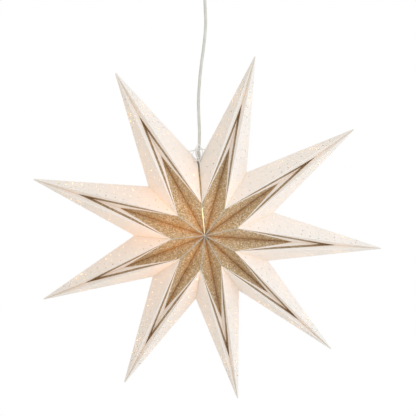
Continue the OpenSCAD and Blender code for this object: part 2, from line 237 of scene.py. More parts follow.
def near(tree, layer, axis, width_mm):
    """1 on a fold line and 0 from width_mm on, eased between. layer and axis pick the UV that holds it."""
    place = add(tree, "UVMap", {"uv_map": layer})
    parts = add(tree, "SeparateXYZ", inputs={"Vector": place.outputs["UV"]})
    eased = add(tree, "MapRange", {"interpolation_type": "SMOOTHSTEP"}, {
        "Value": parts.outputs[axis], "From Min": 0.0, "From Max": width_mm / MM_PER_UV,
        "To Min": 1.0, "To Max": 0.0,
    })
    return eased.outputs["Result"]


def tint(tree, base, shade, factor, strength):
    """The base mixed toward a colour, by factor times strength."""
    amount = add(tree, "Math", {"operation": "MULTIPLY"}, {0: factor, 1: strength})
    return add(tree, "Mix", {"data_type": "RGBA"}, {0: amount.outputs[0], 6: base, 7: shade}).outputs[2]


def inside_shade(tree, base):
    """The base, or grey where light that the paper has already scattered meets the sheet's inside.

    Inside the star light bounces from wall to wall many times, and the few paths that a render follows
    turn that into bright specks. The grey ends them early, and the faint lamps in the spikes make up for
    what is lost.
    """
    inner = add(tree, "Math", {"operation": "MULTIPLY"}, {
        0: add(tree, "NewGeometry").outputs["Backfacing"],
        1: add(tree, "LightPath").outputs["Is Diffuse Ray"],
    })
    greyed = add(tree, "Mix", {"data_type": "RGBA"}, {0: inner.outputs[0], 6: base, 7: colour("#6A6A6A")})
    return greyed.outputs[2]


print("A mask of", near.__name__, "is 1 on its line; a UV unit stands for", MM_PER_UV, "mm")

# %% [markdown]
# ### Paper
# The star is heavy uncoated paper. It scatters light, and lets a little of it through, so the lamp inside
# warms it from behind. A Translucent shader does that on a single sheet, and costs less than light that
# scatters inside a solid, which a sheet 0.4 mm thick wouldn't show anyway.


# %% Uncoated paper
# Uncoated card, pressed between rollers and not glazed, so it has no gloss to speak of: a roughness of 0.82
# and half the usual specular level. Its fibres lie about 0.3 mm across, too fine to show at this distance,
# so the mottling is drawn at 5 mm and only the bump is finer, at about 1 mm.
def paper_material():
    material, tree, output = new_material("uncoated_paper")
    place = add(tree, "TexCoord").outputs["Object"]
    mottle = add(tree, "TexNoise", inputs={"Vector": place, "Scale": 200.0, "Detail": 4.0, "Roughness": 0.6})
    fibre = add(tree, "TexNoise", inputs={"Vector": place, "Scale": 900.0, "Detail": 2.0})
    shade = add(tree, "ValToRGB", inputs={"Fac": mottle.outputs["Fac"]}, stops=[
        (0.35, colour("#F2ECE5")), (0.65, colour("#F7F2EC")),
    ]).outputs["Color"]
    # Painted shade along the valley fold: a soft brown band and a thin dark line.
    shade = tint(tree, shade, colour("#E6D6C4"), near(tree, "valley_ridge", "X", 12.0), 0.35)
    shade = tint(tree, shade, colour("#C4AC92"), near(tree, "valley_ridge", "X", 1.6), 0.3)
    # Painted yellow light in the glued edge, and a painted white highlight along the crest.
    shade = tint(tree, shade, colour("#FFF0C8"), near(tree, "crest_base", "Y", 1.2), 0.7)
    shade = tint(tree, shade, colour("#FFFFFF"), near(tree, "crest_base", "X", 1.0), 0.5)
    shade = inside_shade(tree, shade)
    bump = add(tree, "Bump", inputs={"Height": fibre.outputs["Fac"], "Strength": 0.12, "Distance": 0.0003})
    front = add(tree, "BsdfPrincipled", inputs={
        "Base Color": shade, "Roughness": 0.82, "Specular IOR Level": 0.25, "Normal": bump.outputs["Normal"],
    })
    through = add(tree, "BsdfTranslucent", inputs={"Color": colour("#FFCCD8")})
    sheet = add(tree, "MixShader", inputs={0: 0.05, 1: front.outputs["BSDF"], 2: through.outputs["BSDF"]})
    tree.links.new(sheet.outputs[0], output.inputs["Surface"])
    return material


PAPER = paper_material()
print("Made", PAPER.name, "with", len(PAPER.node_tree.nodes), "nodes")

# %% [markdown]
# ### Glitter print
# The gold star and the vees are printed with glue and dusted with fine gold glitter. Each flake tilts its
# own way, so the print is a brown-gold ground with scattered bright and dark grains. Voronoi cells give one
# random shade to each grain, which plain noise wouldn't. Along the valley fold the print gets a wide band of
# painted brown shade, and a narrow dark line that is partly cracked print and partly painted shade. Along the
# ridge it is worn to pale paper. The narrow vees get painted dark brown shade mixed over their glitter.


# %% Gold glitter
# Metallised plastic flakes in brown glue: a roughness of 0.5, since the flakes lie every way, and only a
# little metallic, because the glue and the flakes' edges scatter most of the light. Real grains are about
# 0.4 mm across, and they are drawn at about 1.3 mm so that they show. The patches are 17 mm wide.
def glitter_material(name, painted_shade_share):
    """Gold glitter on brown glue. The second argument is the share of painted dark brown shade mixed over the
    print.
    """
    material, tree, output = new_material(name)
    place = add(tree, "TexCoord").outputs["Object"]
    grains = add(tree, "TexVoronoi", inputs={"Vector": place, "Scale": 780.0})
    pick = add(tree, "SeparateColor", inputs={"Color": grains.outputs["Color"]})
    patches = add(tree, "TexNoise", inputs={"Vector": place, "Scale": 60.0, "Detail": 3.0})
    ground = add(tree, "ValToRGB", inputs={"Fac": patches.outputs["Fac"]}, stops=[
        (0.3, colour("#BFA680")), (0.7, colour("#D1B891")),
    ])
    sparkle = add(tree, "ValToRGB", inputs={"Fac": pick.outputs["Red"]}, stops=[
        (0.0, colour("#6C604C")), (0.3, colour("#B1996F")),
        (0.75, colour("#D3BA91")), (0.93, colour("#F6F3EA")),
    ])
    shade = add(tree, "Mix", {"data_type": "RGBA"}, {
        0: 0.75, 6: ground.outputs["Color"], 7: sparkle.outputs["Color"],
    }).outputs[2]
    # Painted brown shade along the valley fold, whose narrow dark line is partly cracked print; worn pale
    # print along the ridge.
    shade = tint(tree, shade, colour("#8E5F30"), near(tree, "valley_ridge", "X", 9.0), 0.4)
    shade = tint(tree, shade, colour("#6B4522"), near(tree, "valley_ridge", "X", 1.8), 0.5)
    shade = tint(tree, shade, colour("#D9D9D2"), near(tree, "valley_ridge", "Y", 2.2), 0.75)
    # Painted shade: dark brown mixed over the print, by the share given.
    shade_painted_over = add(tree, "Mix", {"data_type": "RGBA"}, {0: painted_shade_share, 6: shade, 7: colour("#5A3C20")})
    shade = inside_shade(tree, shade_painted_over.outputs[2])
    bump = add(tree, "Bump", inputs={"Height": pick.outputs["Green"], "Strength": 0.4, "Distance": 0.0005})
    front = add(tree, "BsdfPrincipled", inputs={
        "Base Color": shade, "Roughness": 0.5, "Metallic": 0.2, "Normal": bump.outputs["Normal"],
    })
    through = add(tree, "BsdfTranslucent", inputs={"Color": colour("#F0AC40")})
    sheet = add(tree, "MixShader", inputs={0: 0.034, 1: front.outputs["BSDF"], 2: through.outputs["BSDF"]})
    tree.links.new(sheet.outputs[0], output.inputs["Surface"])
    return material


# The vees get 0.43 of painted dark brown shade over their glitter, and the gold field none.
GLITTER = glitter_material("gold_glitter_field", 0.0)
VEE_GLITTER = glitter_material("gold_glitter_vee", 0.43)
print("Made", GLITTER.name, "and", VEE_GLITTER.name)

# %% [markdown]
# ## The folded spikes
# A spike is one sheet folded into a horn with eight walls. Four gusset walls sink between the raised corner
# and the fold that runs along the middle, and four outer walls carry the pinholes. The corners are the same
# as in the solids, so these sizes are too. The nine spikes are not equally wide, and the gap that is left at
# the seam lets the cord in.

# %% Sizes of the star
# Millimetres, and degrees for the spread of each spike and the seam's direction.
TIP_R = 300.0
TIP_BLUNT = 5.0
NOTCH_R = 120.0
RING_R = 54.0
RING_Y = 84.0
CENTRE_Y = 73.0
FLAP_W = 10.0
CENTRE_HOLE_R = 0.4
SPREAD = np.array([45.5, 42.5, 37.5, 40.5, 36.5, 34.5, 40.5, 40.0, 39.5])
SEAM_AZ = 95.2
CORD_D = 5.0
SEAM_CLEAR = 0.3
FLAP_CORNER_R = NOTCH_R - FLAP_W / math.sin(math.atan2(RING_Y, NOTCH_R - RING_R))
SEAM_GAP = 2 * math.degrees(math.asin((CORD_D / 2 + SEAM_CLEAR) / FLAP_CORNER_R))
WIDTHS = SPREAD * (360 - SEAM_GAP) / SPREAD.sum()
MIDDLES = SEAM_AZ + SEAM_GAP / 2 + np.cumsum(WIDTHS) - WIDTHS / 2
LAST = len(WIDTHS) - 1
SEAM_SIDES = {(0, -1), (LAST, 1)}
APEX = np.array([TIP_R + TIP_BLUNT, 0.0, 0.0])
print("Seam gap", round(SEAM_GAP, 2), "degrees; the spikes point at", np.round(MIDDLES % 360, 1))


# %% Places on a spike
def around(r, degrees, y):
    """The point at radius r and an angle round the star's axis: (r cos angle, y, r sin angle)."""
    a = math.radians(degrees)
    return np.stack(np.broadcast_arrays(r * math.cos(a), y, r * math.sin(a)), -1)


def into_place(points, i):
    """Turns points of spike i, whose fold runs along +X, round the star's axis to its own direction.

    A point goes to (x cos - z sin, y, x sin + z cos) of the direction's angle, and down to the star's middle.
    """
    cos, sin = math.cos(math.radians(MIDDLES[i])), math.sin(math.radians(MIDDLES[i]))
    x, y, z = np.asarray(points, float).T
    return np.stack([x * cos - z * sin, y, x * sin + z * cos], 1) + STAR_MIDDLE


def spike_corners(i, side, face):
    """The corners that one side and face of spike i share: centre point, raised corner, notch."""
    half = side * WIDTHS[i] / 2
    centre = np.array([0.0, face * CENTRE_Y, 0.0])
    return centre, around(RING_R, half, face * RING_Y), around(NOTCH_R, half, 0.0)


def trimmed(start):
    """The point on the line from start to the apex where it reaches the blunt end, at x = TIP_R."""
    return start + (APEX - start) * (TIP_R - start[0]) / (APEX[0] - start[0])


print("The first spike's tip is at", np.round(into_place([APEX], 0)[0], 1), "mm")

# %% [markdown]
# ### Cutting a panel
# Each wall is a flat panel, so it can be cut out in two dimensions, holes and all, and only then set in
# space. A constrained Delaunay triangulation keeps the outline, the rims of the holes and the creases as
# edges, and fills the rest with even triangles. Booleans would need a knife for each of over 1,000 holes.


# %% Inside or outside
def leftward(a, b):
    """The unit normal to the left of the flat line from a to b."""
    return unit(np.array([a[1] - b[1], b[0] - a[0]]))


def inside(points, outline, margin):
    """True where a point lies more than margin to the left of every side of a convex outline."""
    keep = np.ones(len(points), bool)
    for a, b in zip(outline, np.roll(outline, -1, 0)):
        keep &= (points - a) @ leftward(a, b) > margin
    return keep


def line_distance(flat, a, b):
    """Distance of flat points from the line through a and b."""
    return np.abs((flat - a) @ leftward(a, b))


print("(0, 2) lies off the X axis by", line_distance(np.array([[0.0, 2.0]]), [0.0, 0.0], [1.0, 0.0])[0])

# %% Cut a panel
HOLE_SIDES = 12
# Shares of the step: between rows, and what inner points keep off the outline and off a hole.
ROW_SHARE, OUTLINE_SHARE, HOLE_SHARE = 0.87, 0.45, 0.3
# A face whose middle lies nearer to a hole's middle than this share of its radius fills the hole.
FILLED_SHARE = 0.95


def stations(a, b, step):
    """Points a + (b - a) k / count, about step apart, from a up to but without b."""
    count = max(1, round(float(np.linalg.norm(b - a)) / step))
    return a + (b - a) * (np.arange(count) / count)[:, None]


def triangle_lattice(low, high, step):
    """Rows of points step apart, 0.87 step from row to row, with every second row moved by half a step."""
    rows, columns = np.arange(low[1], high[1], step * ROW_SHARE), np.arange(low[0], high[0], step)
    y, x = np.meshgrid(rows, columns, indexing="ij")
    x = x + (np.arange(len(rows)) % 2)[:, None] * step / 2
    return np.stack([x, y], -1).reshape(-1, 2)


def cut_panel(outline, holes, hole_r, creases, step):
    """Triangles about step wide that fill a flat convex outline, less its holes, and follow its creases.

    Gives the flat points, the faces, and the faces' middles.
    """
    angle = np.linspace(0, 2 * np.pi, HOLE_SIDES, endpoint=False)
    rim = hole_r * np.stack([np.cos(angle), np.sin(angle)], 1)
    chains = [(np.vstack([stations(a, b, step) for a, b in zip(outline, np.roll(outline, -1, 0))]), True)]
    chains += [(np.vstack([stations(a, b, step), [b]]), False) for a, b in creases]
    chains += [(centre + rim, True) for centre in holes]
    edges, start = [], 0
    for path, closed in chains:
        k = np.arange(len(path) if closed else len(path) - 1)
        edges.append(start + np.stack([k, (k + 1) % len(path)], 1))
        start += len(path)
    lattice = triangle_lattice(outline.min(0), outline.max(0), step)
    keep = inside(lattice, outline, OUTLINE_SHARE * step)
    for centre in holes:
        keep &= np.linalg.norm(lattice - centre, axis=1) > hole_r + HOLE_SHARE * step
    points = np.vstack([path for path, _ in chains] + [lattice[keep]])
    edges = [tuple(edge) for edge in np.vstack(edges).tolist()]
    flat, _, faces, _, _, _ = delaunay_2d_cdt([Vector(p) for p in points], edges, [], 0, 1e-4)
    flat, faces = np.array([tuple(p) for p in flat]), np.array(faces)
    middle = flat[faces].mean(1)
    whole = inside(middle, outline, 0.0)
    for centre in holes:
        whole &= np.linalg.norm(middle - centre, axis=1) > hole_r * FILLED_SHARE
    return flat, faces[whole], middle[whole]


SQUARE = np.array([[0.0, 0.0], [10.0, 0.0], [10.0, 10.0], [0.0, 10.0]])
trial = cut_panel(SQUARE, np.array([[5.0, 5.0]]), 1.0, [], 3.0)
print("A 10 mm square with one hole has", len(trial[1]), "faces")

# %% [markdown]
# ### Pinholes
# Pins were pressed through the outer walls in three rows that fan out from the tip. Every fifth hole is in
# the solids too, and the others lie between, a little uneven as in the photograph. They are real holes, so
# the lit inside shows through them from any side.

# %% Pinholes
PINHOLE_R = 1.1
# For each row: its share of the way from notch to raised corner, and where its solid holes start.
PIN_ROWS = [(0.2, 0.29), (0.52, 0.34), (0.83, 0.24)]
PIN_STEP = 0.3 / 5
FIRST_PIN, LAST_PIN = 0.21, 0.96
PIN_UNEVEN = 1.5
rng = np.random.default_rng(9)


def pinholes(tip, notch, ring):
    """Each place is: tip + share (row's end - tip). A row ends between the notch and the raised corner."""
    places = []
    for across, start in PIN_ROWS:
        reach = notch + (ring - notch) * across - tip
        steps = np.arange(-int((start - FIRST_PIN) / PIN_STEP), int((LAST_PIN - start) / PIN_STEP) + 1)
        shift = rng.uniform(-PIN_UNEVEN, PIN_UNEVEN, (len(steps), 2)) * (steps % 5 != 0)[:, None]
        places.append(tip + reach * (start + steps * PIN_STEP)[:, None] + shift)
    return np.vstack(places)


print("Pinholes", 2 * PINHOLE_R, "mm wide in", len(PIN_ROWS), "rows on each outer wall")

# %% [markdown]
# ### A wall of paper
# Paper never lies quite flat: each wall bulges a little and carries a faint long ripple, both of which fade
# to nothing at its folds, so the walls still meet. The cut panel is lifted by that, and set in space.

# %% Walls
STEP = 7.0
RIPPLE = 0.15
RIPPLE_LENGTH = 23.0
# The ripple starts elsewhere on each wall, by this many radians for a millimetre of swell.
RIPPLE_START = 7


class Wall:
    """A flat panel with its three corners in space, and its own flat frame: a, toward b, toward c."""

    def __init__(self, a, b, c):
        self.corners = np.array([a, b, c])
        self.origin = a
        self.along = unit(b - a)
        self.normal = unit(np.cross(b - a, c - a))
        self.across = np.cross(self.normal, self.along)

    def flat(self, points):
        """Points in space as flat ones: their reach from the origin along and across the frame."""
        return (np.asarray(points) - self.origin) @ np.stack([self.along, self.across], 1)

    def cut(self, outline, outward, swell, holes=(), hole_r=1.0, creases=()):
        """Points in space, faces, flat points and the faces' flat middles.

        The bubble is 27 times the product of the three corner shares, so 1 in the middle and 0 on the sides.
        The lift is swell times the bubble, plus a sine ripple times the bubble's square root.
        """
        lines = [(self.flat(a), self.flat(b)) for a, b in creases]
        flat, faces, middle = cut_panel(self.flat(outline), holes, hole_r, lines, STEP)
        corner = self.flat(self.corners)
        shares = np.linalg.solve(np.vstack([corner.T, np.ones(3)]), np.vstack([flat.T, np.ones(len(flat))]))
        bubble = 27 * np.clip(shares, 0, 1).prod(0)
        side = np.sign(self.normal @ outward)
        ripple = RIPPLE * np.sin(flat[:, 0] / RIPPLE_LENGTH + RIPPLE_START * swell)
        lift = swell * bubble + ripple * np.sqrt(bubble)
        spread = flat @ np.stack([self.along, self.across])
        points = self.origin + spread + self.normal * (side * lift)[:, None]
        return points, faces if side > 0 else faces[:, ::-1], flat, middle


print("Walls are cut in triangles of about", STEP, "mm, with a ripple of", RIPPLE, "mm")

# %% [markdown]
# ### Gusset walls
# A gusset wall runs from the centre point to the blunt end and up to the raised corner. The gold field is
# the triangle from the centre point to the gold tip and the raised corner. The vee's arm is a narrow strip
# that leaves the fold further out and tapers to the raised corner. Their edges are creases of the panel, so
# each face is either all print or all paper.

# %% Gusset walls
GOLD_LEN = 150.0
VEE_LEN = 226.0
VEE_W = 4.5
VEE_FULL = 0.6
GUSSET_SWELL = (-0.9, 0.5)
PAPER_SLOT, GOLD_SLOT, VEE_SLOT = 0, 1, 2


def gusset(i, side, face):
    """A wall from the valley fold to the crest, with its gold field and its vee arm."""
    centre, ring, _ = spike_corners(i, side, face)
    wall = Wall(centre, APEX, ring)
    fold = unit(APEX - centre)
    gold_tip, vee_top = centre + fold * GOLD_LEN, centre + fold * VEE_LEN
    arm = unit(ring - vee_top)
    across = unit(np.cross(np.cross(arm, fold), arm))
    across = across * -np.sign(across @ fold)
    vee_low = vee_top - fold * VEE_W / abs(across @ fold)
    vee_end = ring - arm * VEE_W
    shoulder = vee_top + (vee_end - vee_top) * VEE_FULL + across * VEE_W
    start = centre + (APEX - centre) * CENTRE_HOLE_R / APEX[0]
    ridge_start = centre + (ring - centre) * CENTRE_HOLE_R / RING_R
    outline = [start, trimmed(centre), trimmed(ring), ring, ridge_start]
    creases = [(gold_tip, ring), (vee_top, vee_end), (vee_low, shoulder), (shoulder, vee_end)]
    # Toward the outside of the sheet here: mostly off the star's middle plane.
    outward = np.array([0.0, face, 0.25 * side])
    points, faces, flat, middle = wall.cut(outline, outward, rng.uniform(*GUSSET_SWELL), creases=creases)
    gold = inside(middle, wall.flat([centre, gold_tip, ring]), 0.0)
    vee = inside(middle, wall.flat([vee_low, vee_top, vee_end, shoulder]), 0.0)
    slots = np.where(vee, VEE_SLOT, np.where(gold, GOLD_SLOT, PAPER_SLOT))
    a, b, c = wall.flat(wall.corners)
    far = np.ones(len(flat))
    valley_ridge = np.stack([line_distance(flat, a, b), line_distance(flat, a, c)], 1) / MM_PER_UV
    crest_base = np.stack([line_distance(flat, b, c) / MM_PER_UV, far], 1)
    return points, faces, slots, valley_ridge, crest_base


print("Gold reaches", GOLD_LEN, "mm and the vee", VEE_LEN, "mm along the fold")

# %% [markdown]
# ### Outer walls
# An outer wall runs from the notch to the blunt end and up to the raised corner. It has the pinholes. At the
# seam each one has a punched hole as well, which the tie string goes through, and the pinholes keep clear
# of it.

# %% Outer walls
EYELET_ALONG = 18.0
EYELET_IN = 4.0
EYELET_ROOM = 6.0
OUTER_SWELL = (-0.4, 1.0)


def outer_wall(i, side, face):
    """A wall from the crest to the outer edge, with its pinholes and, at the seam, a punched hole."""
    _, ring, notch = spike_corners(i, side, face)
    wall = Wall(APEX, notch, ring)
    a, b, c = wall.flat(wall.corners)
    holes = pinholes(a, b, c)
    if (i, side) in SEAM_SIDES:
        eyelet = b + [-EYELET_ALONG, EYELET_IN]
        holes = np.vstack([holes[np.linalg.norm(holes - eyelet, axis=1) > EYELET_ROOM], eyelet])
    outline = [trimmed(notch), notch, ring, trimmed(ring)]
    # Toward the outside of the sheet here: mostly off to the spike's side.
    outward = np.array([0.0, face, 4.0 * side])
    points, faces, flat, _ = wall.cut(outline, outward, rng.uniform(*OUTER_SWELL), holes, PINHOLE_R)
    far = np.ones((len(flat), 2))
    crest_base = np.stack([line_distance(flat, a, c), line_distance(flat, b, c)], 1) / MM_PER_UV
    return points, faces, np.full(len(faces), PAPER_SLOT), far, crest_base


print("The seam's punched holes are", EYELET_ALONG, "mm from the notch and", EYELET_IN, "mm in")

# %% [markdown]
# ### Glue flaps
# Each side of a spike turns in a strip 10 mm wide, and the neighbour's strip is glued on it. Through a
# pinhole or the open seam it is the flaps that one sees, so they are there, though only as plain strips.

# %% Glue flaps
FLAP_INSET = 0.2


def flap(i, side, face):
    """Half of a glue flap: a strip beside the lines from centre to raised corner to notch.

    Its inner edge is parallel to them, and at a bend the inner corner is:
    corner + (left 1 + left 2) width / (1 + left 1 . left 2).
    """
    edge = np.array([[0, -CENTRE_Y], [RING_R, -RING_Y], [NOTCH_R, 0], [RING_R, RING_Y]], float)
    left = unit(np.stack([edge[:-1, 1] - edge[1:, 1], edge[1:, 0] - edge[:-1, 0]], 1))
    inner_ring = edge[1] + (left[0] + left[1]) * FLAP_W / (1 + left[0] @ left[1])
    inner_notch = edge[2] + (left[1] + left[2]) * FLAP_W / (1 + left[1] @ left[2])
    start = edge[0] + unit(edge[1] - edge[0]) * CENTRE_HOLE_R
    flat = np.array([start, edge[1], edge[2], start + left[0] * FLAP_W, inner_ring, inner_notch])
    half = math.radians(side * WIDTHS[i] / 2)
    inward = side * np.array([math.sin(half), 0, -math.cos(half)]) * FLAP_INSET
    points = around(flat[:, 0], side * WIDTHS[i] / 2, -face * flat[:, 1]) + inward
    far = np.ones((len(points), 2))
    return points, np.array([[0, 1, 4, 3], [1, 2, 5, 4]]), np.full(2, PAPER_SLOT), far, far


print("Flaps are", FLAP_W, "mm wide")

# %% [markdown]
# ### The blunt end
# The tip of a paper spike is glued solid for its last few millimetres and cut blunt. A fan of triangles
# round the middle of the eight folds and edges closes it.


# %% Blunt end
def blunt_end(i):
    """The closed end of a spike: a fan from the mean of the eight corners that reach it."""
    corners = []
    for side, face in ((1, -1), (-1, -1), (-1, 1), (1, 1)):
        centre, ring, notch = (trimmed(corner) for corner in spike_corners(i, side, face))
        corners += [ring, centre] if side * face < 0 else [ring, notch]
    middle = np.mean(corners, 0)
    k = np.arange(len(corners))
    fan = np.stack([np.full(len(k), len(k)), k, (k + 1) % len(k)], 1)
    points = np.vstack([corners, middle])
    turn = np.sign(np.cross(points[1] - points[0], middle - points[0])[0])
    far = np.ones((len(points), 2))
    return points, fan if turn > 0 else fan[:, ::-1], np.full(len(fan), PAPER_SLOT), far, far


print("The blunt end is a fan of", len(blunt_end(0)[1]), "triangles")

# %% [markdown]
# ### The seam
# The two end spikes aren't glued. The string ties them together round the cord, so the cord fills the notch,
# and from there down the spikes lean together until only a bright slit is left.

# %% Seam
SLIT_TOP = 2.6
SLIT_RING = 0.6
SLIT_TOP_R = 80.0
CORD_CLEAR = (3.0, 9.0)
LEAN_WIDTH = 14.0


def smoothstep(share):
    """3 share squared less 2 share cubed, with the share held between 0 and 1."""
    share = np.clip(share, 0, 1)
    return share * share * (3 - 2 * share)


def draw_together(points, i):
    """Near the seam, the two end spikes lean together, and only leave room for the cord in the notch.

    Each point moves along the side's normal by half the gap less half the wanted slit. The slit is 0.6 mm
    up to the raised corner and eases to 2.6 mm at 80 mm. The move eases in from 3 to 9 mm off the star's
    middle plane, clear of the cord, and falls off as a bell curve of the distance from the side.
    """
    for spike, side in SEAM_SIDES:
        if spike != i:
            continue
        half = math.radians(WIDTHS[i] / 2)
        normal = np.array([-math.sin(half), 0, side * math.cos(half)])
        r = np.hypot(points[:, 0], points[:, 2])
        half_gap = r * math.sin(math.radians(SEAM_GAP / 2))
        narrow = smoothstep((SLIT_TOP_R - r) / (SLIT_TOP_R - RING_R))
        half_slit = (SLIT_TOP - (SLIT_TOP - SLIT_RING) * narrow) / 2
        clear = smoothstep((np.abs(points[:, 1]) - CORD_CLEAR[0]) / (CORD_CLEAR[1] - CORD_CLEAR[0]))
        reach = np.exp(-((points @ normal) / LEAN_WIDTH) ** 2) * clear
        points = points + normal * (np.clip(half_gap - half_slit, 0, None) * reach)[:, None]
    return points


print("The slit is", SLIT_RING, "to", SLIT_TOP, "mm wide")


# %% [markdown]
# ### Nine sheets
# A spike is one sheet of paper, so it is one mesh: its walls, flaps and blunt end are stacked into one set of
# arrays and turned to their place round the star. Each then rides on the root body, and stands for the solid
# of the same number.


# %% Fold the nine spikes
def folded_spike(i):
    """All the walls, flaps and the blunt end of spike i: points, faces, material numbers and two UV maps."""
    sheet = (gusset, outer_wall, flap)
    parts = [make(i, side, face) for face in (-1, 1) for side in (1, -1) for make in sheet]
    parts.append(blunt_end(i))
    starts = np.cumsum([0] + [len(p[0]) for p in parts])
    faces = [f for p, start in zip(parts, starts) for f in (p[1] + start).tolist()]
    points = draw_together(np.vstack([p[0] for p in parts]), i)
    slots = np.concatenate([p[2] for p in parts])
    maps = {"valley_ridge": np.vstack([p[3] for p in parts]), "crest_base": np.vstack([p[4] for p in parts])}
    return into_place(points, i), faces, slots, maps


SHEET_MATERIALS = [PAPER, GLITTER, VEE_GLITTER]
spikes = []
for i in range(len(WIDTHS)):
    points, faces, slots, maps = folded_spike(i)
    spike = mesh_piece(
        f"paper_spike_{i + 1}", points, faces, SHEET_MATERIALS, slots, smooth=False, maps=maps,
    )
    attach(spike, "root")
    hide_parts(f"spike_{i + 1}")
    spikes.append(spike)
print(len(spikes), "spikes,", sum(len(s.data.polygons) for s in spikes), "faces")

# %% [markdown]
# ## The supply cord
# The cord is a round sheathed lead, 5 mm thick, and almost straight under the star's weight, with the slight
# waves that it kept from its packing. Its route is the one in the solids, eased into a smooth curve. It runs
# from the ceiling cup down to the bush on the lamp holder.


# %% Cord sheath
# Soft PVC or rubber, extruded in one pass, so it is even, with a satin shine: an IOR of 1.5 and a roughness
# of 0.42. It has handling marks in patches of about 17 mm, and a fine skin of about 1 mm, which in truth is
# too fine to see.
def sheath_material():
    material, tree, output = new_material("moulded_cord_sheath")
    place = add(tree, "TexCoord").outputs["Object"]
    marks = add(tree, "TexNoise", inputs={"Vector": place, "Scale": 60.0, "Detail": 3.0})
    shade = add(tree, "ValToRGB", inputs={"Fac": marks.outputs["Fac"]}, stops=[
        (0.3, colour("#C9C7BF")), (0.7, colour("#D8D6CF")),
    ])
    skin = add(tree, "TexNoise", inputs={"Vector": place, "Scale": 1200.0})
    bump = add(tree, "Bump", inputs={"Height": skin.outputs["Fac"], "Strength": 0.08, "Distance": 0.0003})
    front = add(tree, "BsdfPrincipled", inputs={
        "Base Color": shade.outputs["Color"], "Roughness": 0.42, "IOR": 1.5,
        "Normal": bump.outputs["Normal"],
    })
    tree.links.new(front.outputs["BSDF"], output.inputs["Surface"])
    return material


SHEATH = sheath_material()
print("Made", SHEATH.name)

# %% Supply cord
CORD_ROUTE = np.array([
    [0, 0, -16], [0, 0, -28], [0, 0, -40], [0, 0, -52], [0, 0, -64], [0, 0, -76], [0, 0, -88],
    [0.5, 0, -100], [1, 0, -112], [1.5, 0, -124], [1, 0, -137], [0, 0, -150], [-1.5, 0, -163],
    [-3, 0, -175], [-5, 0, -188], [-6.5, 0, -201], [-8, 0, -214], [-9, 0, -227], [-10, 0, -240],
    [-10.5, 0, -252], [-10.5, 0, -264], [-10, 0, -277], [-9.5, 0, -290], [-9, 0, -302],
    [-9, 0, -314], [-9.5, 0, -326], [-10.5, 0, -338], [-10.8, 0, -350], [-9.7, 0, -363],
    [-9, 0, -371.7], [-9, 0, -381.7], [-9, 0, -390.7],
])
CORD_STEPS, CORD_SIDES = 4, 20
cord_path = ease(CORD_ROUTE, CORD_STEPS)
cord_points, cord_faces = tube(cord_path, CORD_D / 2, CORD_SIDES)
cord = mesh_piece("cord_sheath", cord_points, cord_faces, [SHEATH])
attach(cord, "root")
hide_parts("supply_cord")

# %% [markdown]
# ## The tie string
# A thin white string goes through a punched hole in each end spike and round the cord, and its ends are tied
# in a small bow in front of it. One strand is the loop through the holes, and another is the bow with its
# hanging end. They are round tubes along eased paths, like the cord.


# %% String
# Twisted cotton or polyester string: matt, with a little sheen from its loose fibres, and a roughness of
# 0.6. Its plies lie about 2 mm apart along it, which is the scale of the diagonal bands.
def string_material():
    material, tree, output = new_material("twisted_string")
    place = add(tree, "TexCoord").outputs["Object"]
    twist = add(tree, "TexWave", {"wave_type": "BANDS", "bands_direction": "DIAGONAL"}, {
        "Vector": place, "Scale": 450.0, "Distortion": 1.0,
    })
    shade = add(tree, "ValToRGB", inputs={"Fac": twist.outputs["Fac"]}, stops=[
        (0.0, colour("#E2E0DB")), (1.0, colour("#FAF9F7")),
    ])
    front = add(tree, "BsdfPrincipled", inputs={
        "Base Color": shade.outputs["Color"], "Roughness": 0.6, "Sheen Weight": 0.3,
    })
    tree.links.new(front.outputs["BSDF"], output.inputs["Surface"])
    return material


STRING = string_material()
print("Made", STRING.name)


# %% Punched holes
def eyelet_place(i, side, face, lift):
    """The punched hole's middle, moved lift millimetres along the wall's outward normal.

    It is: notch + along the edge by 18 mm + across, into the wall, by 4 mm + normal times lift.
    """
    _, ring, notch = spike_corners(i, side, face)
    along = unit(APEX - notch)
    normal = unit(np.cross(APEX - notch, ring - notch))
    normal = normal * np.sign(normal @ [0, face, side])
    across = unit(np.cross(normal, along))
    across = across * np.sign(across @ (ring - notch))
    return into_place([notch + along * EYELET_ALONG + across * EYELET_IN + normal * lift], i)[0]


print("The first punched hole is at", np.round(eyelet_place(0, -1, -1, 0), 1), "mm")

# %% Tie string
STRING_D = 1.6
STRING_STEPS, STRING_SIDES = 6, 10
# Millimetres above the paper at which the string meets, passes and leaves a punched hole.
GOING_IN, COMING_OUT = (2, 0, -1.5), (-1.5, 0, 2)
loop = np.vstack([
    [[-7.2, -5.4, -351], [-7.6, -4.4, -342], [-10.5, -3.5, -336]],
    [eyelet_place(0, -1, -1, lift) for lift in GOING_IN],
    [eyelet_place(0, -1, 1, lift) for lift in COMING_OUT],
    [[-18, 4.2, -336], [-10.3, 3.3, -334], [-4, 4, -334]],
    [eyelet_place(LAST, 1, 1, lift) for lift in GOING_IN],
    [eyelet_place(LAST, 1, -1, lift) for lift in COMING_OUT],
    [[-5, -4.6, -334], [-11.5, -5, -333], [-15, -5.2, -339], [-13, -5.4, -346], [-8.5, -5.2, -348]],
])
bow = np.array([
    [-7.6, -22.5, -365.5], [-7.8, -15.5, -359.5], [-8.8, -10.5, -354], [-11.5, -9.4, -347.5],
    [-13.8, -7.4, -340.5], [-12.6, -6.2, -332], [-10.8, -5.8, -324.4], [-13.8, -6.4, -330.5],
    [-17.8, -7.4, -336.8], [-20.4, -9.4, -343], [-18.6, -13.8, -349], [-13.2, -11.8, -352.6],
    [-8, -10, -350.6], [-4.9, -9, -344.6], [-3.7, -6.6, -338.4], [-6.2, -6, -331.4],
    [-10.4, -5.2, -325.6], [-11.8, -4.8, -330], [-11, -3.9, -336],
])
